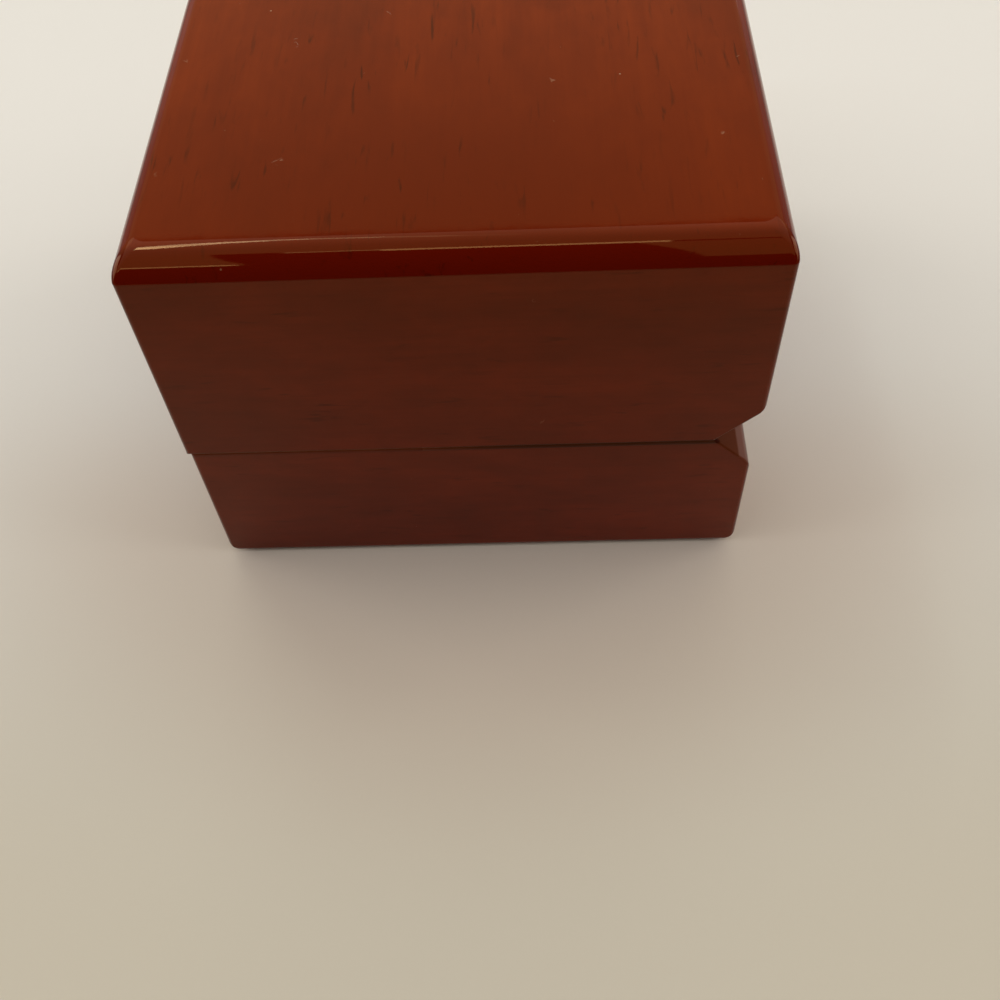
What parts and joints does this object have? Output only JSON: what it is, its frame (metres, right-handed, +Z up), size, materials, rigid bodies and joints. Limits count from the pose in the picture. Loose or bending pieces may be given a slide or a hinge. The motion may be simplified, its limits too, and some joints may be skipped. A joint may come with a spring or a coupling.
{
  "type": "ring display box",
  "caption": "Square lacquered wooden ring box: a hinged lid with a padded lining opens over a velvet insert whose foam rolls grip one ring.",
  "frame": {"origin": "middle of the felt's underside, where the box stands", "axes": "+Z up; -Y the front, where the lid opens; +Y the rear, with the groove and the hinges; +X the right-hand side"},
  "size_m": [0.065, 0.065, 0.0496],
  "materials": {
    "lacquered_wall": "dark red-brown wood under gloss lacquer, grain level",
    "lacquered_top": "red-brown open-pored wood under gloss lacquer, profiled edge",
    "floor_board": "bare thin plywood",
    "felt": "dense dark felt",
    "velvet": "short-pile ivory velvet over card or foam",
    "foam": "open-cell foam",
    "satin": "padded ivory satin",
    "card": "grey-brown board",
    "brass": "turned brass, satin",
    "steel_pin": "drawn steel"
  },
  "bodies": {
    "base": {"base_front_wall": "lacquered_wall", "base_rear_wall": "lacquered_wall", "base_left_wall": "lacquered_wall", "base_right_wall": "lacquered_wall", "base_floor_panel": "floor_board", "base_felt": "felt", "base_lining_front": "velvet", "base_lining_rear": "velvet", "base_lining_left": "velvet", "base_lining_right": "velvet", "insert_frame": "velvet", "insert_foam_bed": "foam", "ring_roll_front": "velvet", "ring_roll_rear": "velvet", "hinge_left_base_barrel": "brass", "hinge_right_base_barrel": "brass", "hinge_left_base_pin": "steel_pin", "hinge_right_base_pin": "steel_pin"},
    "hinge_links": {"hinge_left_links": "brass", "hinge_right_links": "brass"},
    "lid": {"hinge_left_lid_barrel": "brass", "hinge_right_lid_barrel": "brass", "hinge_left_lid_pin": "steel_pin", "hinge_right_lid_pin": "steel_pin", "lid_front_wall": "lacquered_wall", "lid_rear_wall": "lacquered_wall", "lid_left_wall": "lacquered_wall", "lid_right_wall": "lacquered_wall", "lid_top_panel": "lacquered_top", "lid_lining_front": "velvet", "lid_lining_rear": "velvet", "lid_lining_left": "velvet", "lid_lining_right": "velvet", "lid_pad_board": "card", "lid_pad": "satin"}
  },
  "joints": [
    {"name": "link_swing", "type": "hinge", "parent": "base", "child": "hinge_links", "pos_m": [0, 0.0275, 0.0193], "axis": [-1, 0, 0], "range_deg": [0, 50]},
    {"name": "lid_swing", "type": "hinge", "parent": "hinge_links", "child": "lid", "pos_m": [0, 0.0275, 0.0229], "axis": [-1, 0, 0], "range_deg": [0, 50]}
  ],
  "couplings": [
    {"joint": "link_swing", "follows": "lid_swing", "ratio": 1}
  ]
}
